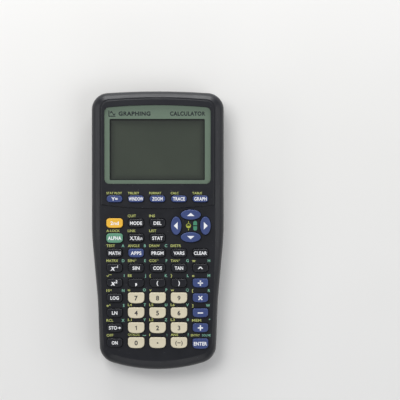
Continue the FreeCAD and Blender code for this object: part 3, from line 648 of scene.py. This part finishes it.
for k, (x, y, kind) in KEYS.items():
    pr = Print()
    ink = "ink_dark" if finish_of.get("key_" + k) == "key_ivory" else "ink_white"
    at = dict(kind=kind, cx=x, cy=y)
    if k in WORDS:
        s, cap, width = WORDS[k]
        pr.text(s, x, y, cap, bold=0.028, width=width, res=4, track=1.06, **at)
    elif k == "1":
        pr.shape([[(x - 0.02, y - 1.45), (x + 0.5, y - 1.45), (x + 0.5, y + 1.4), (x + 0.1, y + 1.4), (x - 0.75, y + 0.78),
                   (x - 0.75, y + 0.28), (x - 0.02, y + 0.78)]], **at)
    elif k in "0123456789":
        pr.text(k, x, y - 0.05, 2.85, bold=0.028, res=6, **at)
    elif k == "variable":
        pr.text("X,T,θ,n", x, y, 2.1, bold=0.03, width=8.2, res=4, **at)
    elif k == "inverse":
        pr.text("x", x - 1.0, y + 0.05, 3.1, bold=0.03, res=4, slant=0.22, **at)
        pr.text("-1", x + 1.35, y + 0.9, 1.6, bold=0.035, res=4, slant=0.15, **at)
    elif k == "square":
        pr.text("x", x - 0.85, y + 0.05, 3.1, bold=0.03, res=4, slant=0.22, **at)
        pr.text("2", x + 1.2, y + 0.85, 1.8, bold=0.035, res=4, slant=0.15, **at)
    elif k == "store":
        pr.text("STO", x - 1.1, y, 2.1, bold=0.028, width=5.4, res=4, track=1.06, **at)
        pr.shape([[(x + 2.0, y - 0.22), (x + 2.9, y - 0.22), (x + 2.9, y - 0.85), (x + 4.2, y), (x + 2.9, y + 0.85),
                   (x + 2.9, y + 0.22), (x + 2.0, y + 0.22)]], **at)
    elif k == "power":
        pr.shape([[(x - 1.75, y - 0.6), (x - 0.95, y - 0.6), (x, y + 0.28), (x + 0.95, y - 0.6), (x + 1.75, y - 0.6),
                   (x + 0.38, y + 0.95), (x - 0.38, y + 0.95)]], **at)
    elif k == "comma":
        pr.text(",", x, y + 1.15, 4.4, bold=0.035, res=5, **at)
    elif k == "open_bracket":
        pr.text("(", x, y + 0.15, 2.35, bold=0.03, res=5, **at)
    elif k == "close_bracket":
        pr.text(")", x, y + 0.15, 2.35, bold=0.03, res=5, **at)
    elif k == "point":
        pr.shape([ellipse(x, y - 0.1, 0.58, 0.48, 18)], **at)
    elif k == "negative":
        pr.text("(", x - 1.85, y + 0.1, 2.3, bold=0.026, res=5, **at)
        pr.text(")", x + 1.85, y + 0.1, 2.3, bold=0.026, res=5, **at)
        pr.shape([rect(x, y, 2.1, 0.55)], **at)
    elif k == "minus":
        pr.shape([rect(x, y, 3.5, 0.75)], **at)
    elif k == "plus":
        h, t = 1.7, 0.40
        pr.shape([[(x - h, y - t), (x - t, y - t), (x - t, y - h), (x + t, y - h), (x + t, y - t), (x + h, y - t),
                   (x + h, y + t), (x + t, y + t), (x + t, y + h), (x - t, y + h), (x - t, y + t), (x - h, y + t)]], **at)
    elif k == "multiply":
        h, t = 1.5, 0.52
        pr.shape([[(x - h, y - h + t), (x - h + t, y - h), (x, y - t), (x + h - t, y - h), (x + h, y - h + t), (x + t, y),
                   (x + h, y + h - t), (x + h - t, y + h), (x, y + t), (x - h + t, y + h), (x - h, y + h - t), (x - t, y)]],
                 **at)
    elif k == "divide":
        pr.shape([rect(x, y, 3.5, 0.72)], **at)
        pr.shape([ellipse(x, y + 1.22, 0.52, 0.5, 18)], **at)
        pr.shape([ellipse(x, y - 1.22, 0.52, 0.5, 18)], **at)
    elif k == "arrow_up":
        pr.shape([[(x - 2.4, y - 0.85), (x + 2.4, y - 0.85), (x, y + 1.2)]], **at)
    elif k == "arrow_down":
        pr.shape([[(x - 2.4, y + 0.85), (x, y - 1.2), (x + 2.4, y + 0.85)]], **at)
    elif k == "arrow_left":
        pr.shape([[(x + 1.0, y - 2.45), (x + 1.0, y + 2.45), (x - 1.5, y)]], **at)
    elif k == "arrow_right":
        pr.shape([[(x - 1.0, y - 2.45), (x + 1.5, y), (x - 1.0, y + 2.45)]], **at)
    pr.done("mark_" + k, ink, "key_" + k)

# legends printed on the case, above the keys: second function with its width, then letter
LEGENDS = {
    "mode": ("QUIT", 5.4, ""), "del": ("INS", 3.8, ""), "alpha": ("A-LOCK", 8.9, ""), "variable": ("LINK", 5.2, ""),
    "stat": ("LIST", 4.7, ""), "math": ("TEST", 5.7, "A"), "apps": ("ANGLE", 7.7, "B"), "prgm": ("DRAW", 7.0, "C"),
    "vars": ("DISTR", 6.9, ""), "inverse": ("MATRX", 7.8, "D"), "sin": ("SIN-1", 4.3, "E"), "cos": ("COS-1", 4.8, "F"),
    "tan": ("TAN-1", 4.9, "G"), "power": ("π", 2.3, "H"), "square": ("√", 2.4, "I"), "comma": ("EE", 2.6, "J"),
    "open_bracket": ("{", 1.1, "K"), "close_bracket": ("}", 1.1, "L"), "divide": ("e", 1.5, "M"), "log": ("10x", 2.3, "N"),
    "7": ("u", 1.5, "O"), "8": ("v", 1.6, "P"), "9": ("w", 2.3, "Q"), "multiply": ("[", 0.8, "R"), "ln": ("ex", 1.5, "S"),
    "4": ("L4", 2.7, "T"), "5": ("L5", 2.7, "U"), "6": ("L6", 2.7, "V"), "minus": ("]", 0.8, "W"),
    "store": ("RCL", 4.5, "X"), "1": ("L1", 2.5, "Y"), "2": ("L2", 2.7, "Z"), "3": ("L3", 2.7, "θ"),
    "plus": ("MEM", 6.0, '"'), "on": ("OFF", 4.5, ""), "0": ("CATALOG", 7.6, "_"), "point": ("i", 0.6, ":"),
    "negative": ("ANS", 5.0, "?"), "enter": ("ENTRY", 5.9, "SOLVE")}
GRAPH_LEGENDS = {"y_equals": ("STAT PLOT", 10.2), "window": ("TBLSET", 7.4), "zoom": ("FORMAT", 7.8),
                 "trace": ("CALC", 5.2), "graph": ("TABLE", 6.4)}
second, letters = Print(), Print()
for k, (s, w, a) in LEGENDS.items():
    x, y, kind = KEYS[k]
    wide = k in "0123456789" or k in ("point", "negative")
    y += 5.2 if wide else 5.4 if k == "enter" else 4.78
    cap, left, right = 1.6, x - 5.5, x + 6.4
    if s.endswith("-1") or s in ("10x", "ex"):
        main, sup = (s[:-2], "-1") if s.endswith("-1") else (s[:-1], "x")
        second.text(main, left, y, cap, align="LEFT", bold=0.02, width=w)
        second.text(sup, left + w + 0.2, y + 0.55, 1.05 if sup == "-1" else 1.3, align="LEFT", bold=0.022, narrow=0.95)
    elif s == "√":
        second.shape([[(left, y - 0.1), (left + 0.45, y + 0.25), (left + 0.9, y - 0.45), (left + 1.5, y + 0.75),
                       (left + 3.5, y + 0.75), (left + 3.5, y + 0.42), (left + 1.75, y + 0.42), (left + 1.0, y - 0.95),
                       (left + 0.4, y - 0.15), (left + 0.15, y - 0.35)]])
    elif s == "CATALOG":
        second.text(s, left, y, 1.4, align="LEFT", bold=0.016, width=w)
    elif s == "ENTRY":
        second.text(s, left - 0.75, y, 1.4, align="LEFT", bold=0.016, width=w)
    else:
        second.text(s, left, y, cap, align="LEFT", bold=0.02, width=w)
    if a == "SOLVE":
        letters.text(a, right + 0.3, y, 1.4, align="RIGHT", bold=0.016, width=5.7)
    elif a == "_":
        letters.shape([[(right - 2.1, y - 0.1), (right - 2.1, y - 0.75), (right, y - 0.75), (right, y - 0.1),
                        (right - 0.34, y - 0.1), (right - 0.34, y - 0.42), (right - 1.76, y - 0.42), (right - 1.76, y - 0.1)]])
    elif a:
        letters.text(a, right, y, 1.75, align="RIGHT", bold=0.024, narrow=0.98)
for k, (s, w) in GRAPH_LEGENDS.items():
    x, y, kind = KEYS[k]
    second.text(s, x - 5.4, y + 3.75, 1.4, kind="plateau", align="LEFT", bold=0.014, width=w)
# contrast mark between the arrows: a half-filled ring with rays above and below
dial, pages = Print(), Print()
cx, cy, r = ARROW_X - 1.5, ARROW_Y + 0.1, 1.6
dial.shape([ellipse(cx, cy, r, r, 36), list(reversed(arc(cx, cy, r - 0.36, 0, 180, 18)))])
dial.shape([rect(cx, cy + r + 0.85, 0.38, 1.2)])
dial.shape([rect(cx, cy - r - 0.85, 0.38, 1.2)])
# page marks: a rounded tab pointing up and one pointing down
px = ARROW_X + 2.9
pages.shape([[(px - 1.25, cy + 0.35), (px + 1.25, cy + 0.35), (px + 1.25, cy + 1.95)] +
             arc(px, cy + 1.95, 1.25, 0, 180, 14)[1:-1] + [(px - 1.25, cy + 1.95)]])
pages.shape([[(px + 1.25, cy - 0.35), (px - 1.25, cy - 0.35), (px - 1.25, cy - 1.95)] +
             arc(px, cy - 1.95, 1.25, 180, 360, 14)[1:-1] + [(px + 1.25, cy - 1.95)]])
dial.done("legend_contrast", "ink_lime", "case")
pages.done("legend_pages", "ink_teal", "case")
second.done("legend_second", "ink_yellow", "case")
letters.done("legend_letters", "ink_green", "case")


# ------------------------------------------------------------------ the window's printed border
def rounded(points, r, n=8):
    """Rounds the corners of a convex outline given anticlockwise."""
    out = []
    k = len(points)
    for i in range(k):
        a, b, c = (Vector(points[(i + j) % k]) for j in (-1, 0, 1))
        u, w = (a - b).normalized(), (c - b).normalized()
        half = math.acos(max(-1, min(1, u.dot(w)))) / 2
        if half > math.radians(80):
            out.append(tuple(b))
            continue
        t = r / math.tan(half)
        mid = b + (u + w).normalized() * (r / math.sin(half))
        p0, p1 = b + u * t, b + w * t
        a0 = math.atan2(p0.y - mid.y, p0.x - mid.x)
        a1 = math.atan2(p1.y - mid.y, p1.x - mid.x)
        while a1 < a0:
            a1 += 2 * math.pi
        out += [(mid.x + r * math.cos(a0 + (a1 - a0) * j / n), mid.y + r * math.sin(a0 + (a1 - a0) * j / n))
                for j in range(n + 1)]
    return out


def bowed_top(w, y0, y1, bow, n=20):
    top = [(w - 2 * w * i / n, y1 + bow * (1 - (1 - 2 * i / n) ** 2)) for i in range(n + 1)]
    return [(-w, y0), (w, y0)] + top


def band(name, outer, inner, z0, z1, material):
    """A flat ring between two outlines, in the face frame."""
    bm = bmesh.new()
    edges = []
    for pts in (outer, inner):
        vs = [bm.verts.new((px, py, z0)) for px, py in pts]
        edges += [bm.edges.new((vs[i], vs[(i + 1) % len(vs)])) for i in range(len(vs))]
    bmesh.ops.triangle_fill(bm, edges=edges, use_beauty=True)
    for f in list(bm.faces):
        c = f.calc_center_median()
        if inside_loop(c.x, c.y, inner):
            bm.faces.remove(f)
    grown = bmesh.ops.extrude_face_region(bm, geom=list(bm.faces), use_keep_orig=True)
    for v in grown["geom"]:
        if isinstance(v, bmesh.types.BMVert):
            v.co.z = z1
    for v in bm.verts:
        v.co = row(*v.co)
    bmesh.ops.recalc_face_normals(bm, faces=bm.faces)
    me = bpy.data.meshes.new(name)
    bm.to_mesh(me)
    bm.free()
    me.materials.append(M[material])
    ob = bpy.data.objects.new(name, me)
    bpy.context.scene.collection.objects.link(ob)
    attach(ob, "case")
    return ob


BACK = PLATEAU - LENS_T          # the lens's underside
outer = rounded(bowed_top(LENS_W - 0.1, LENS_Y0 + 0.1, LENS_Y1 - 0.1, LENS_BOW), 3.3)
inner = rounded([(-WIN_X - 0.3, WIN_Y0), (WIN_X - 0.1, WIN_Y0), (WIN_X - 0.1, WIN_Y1 + 0.3), (-WIN_X - 0.3, WIN_Y1 + 0.3)], 0.7)
band("window_border", outer, inner, BACK - 0.045, BACK - 0.012, "border")

# header marks, under the lens and over the border: a small plotted curve and plain words
head = Print()
HEAD_Z = BACK - 0.012
HY = 77.15


def head_text(s, x, cap, width, bold):
    head.text(s, x, HY, cap, kind="lens", align="LEFT", bold=bold, width=width, lift=HEAD_Z - 0.022, track=1.12, res=4)


THICK_KEEP, THICK = THICK, 0.031
head_text("GRAPHING", -25.6, 2.5, 21.0, 0.042)
head_text("CALCULATOR", 8.2, 2.5, 23.2, 0.042)
ix, iy = -30.0, HY
head.shape([[(ix - 2.2, iy - 2.0), (ix + 2.4, iy - 2.0), (ix + 2.4, iy - 1.42), (ix - 1.62, iy - 1.42), (ix - 1.62, iy + 2.0),
             (ix - 2.2, iy + 2.0)]], kind="lens", lift=HEAD_Z - 0.022)
wave = [(ix - 1.2 + 3.5 * i / 16, iy + 0.68 + 1.0 * math.sin(i / 16 * 2 * math.pi)) for i in range(17)]
low = [(px, py - 0.95) for px, py in wave]
head.shape([low + list(reversed(wave))], kind="lens", lift=HEAD_Z - 0.022)
head.done("window_header", "ink_navy", "case")
THICK = THICK_KEEP

# ------------------------------------------------------------------ floor, light, camera
def stage_material():
    g = Graph("studio_floor")
    g.link(g.ramp(g.noise(3.0, 3), [(0.3, lin(226, 225, 222)), (0.7, lin(231, 230, 228))]), g.bsdf.inputs["Base Color"])
    g.link(g.span(g.noise(40, 3), 0.62, 0.75), g.bsdf.inputs["Roughness"])
    return g.mat


bm = bmesh.new()
bmesh.ops.create_grid(bm, x_segments=8, y_segments=8, size=1.6)
for v in bm.verts:
    v.co.z = -0.0002
me = bpy.data.meshes.new("floor")
bm.to_mesh(me)
bm.free()
me.materials.append(stage_material())
floor = bpy.data.objects.new("floor", me)
bpy.context.scene.collection.objects.link(floor)

scene = bpy.context.scene
scene.view_settings.view_transform = "Standard"
world = bpy.data.worlds.new("studio")
world.use_nodes = True
world.node_tree.nodes["Background"].inputs[0].default_value = (0.93, 0.95, 1.0, 1)
world.node_tree.nodes["Background"].inputs[1].default_value = 0.27
scene.world = world


def area(name, place, aim, size, power, colour=(1, 1, 1)):
    li = bpy.data.lights.new(name, "AREA")
    li.shape, li.size, li.size_y, li.energy, li.color = "RECTANGLE", size[0], size[1], power, colour
    ob = bpy.data.objects.new(name, li)
    ob.location = place
    ob.rotation_euler = (Vector(aim) - Vector(place)).to_track_quat("-Z", "Y").to_euler()
    scene.collection.objects.link(ob)
    return ob


area("key_light", (-0.45, 0.60, 1.10), (0, 0, 0), (0.8, 0.6), 7.7)
area("fill_light", (0.8, -0.35, 0.9), (0, 0, 0), (0.8, 0.8), 3.5, (0.96, 0.98, 1.0))
area("top_strip", (0.0, 0.68, 0.17), (0, 0.08, 0.02), (0.7, 0.12), 4.2)
area("right_strip", (0.62, 0.05, 0.27), (0.03, 0, 0.02), (0.5, 0.12), 0.55)
area("left_strip", (-0.62, 0.05, 0.27), (-0.03, 0, 0.02), (0.5, 0.12), 0.75)
area("low_strip", (0.0, -0.66, 0.27), (0, -0.06, 0.02), (0.6, 0.12), 0.6)

# straight down at the face, the picture's centre to the right of and above the object's
DIST, PX = 1.100, 0.665 * MM
cam = bpy.data.cameras.new("camera")
cam.sensor_width = 36.0
cam.lens = (DIST - 0.009) / PX / 400 * 36.0
cam.clip_start, cam.clip_end = 0.01, 20
cam_ob = bpy.data.objects.new("camera", cam)
cam_ob.location = (0.02793, 0.02015, DIST)
scene.collection.objects.link(cam_ob)
scene.camera = cam_ob
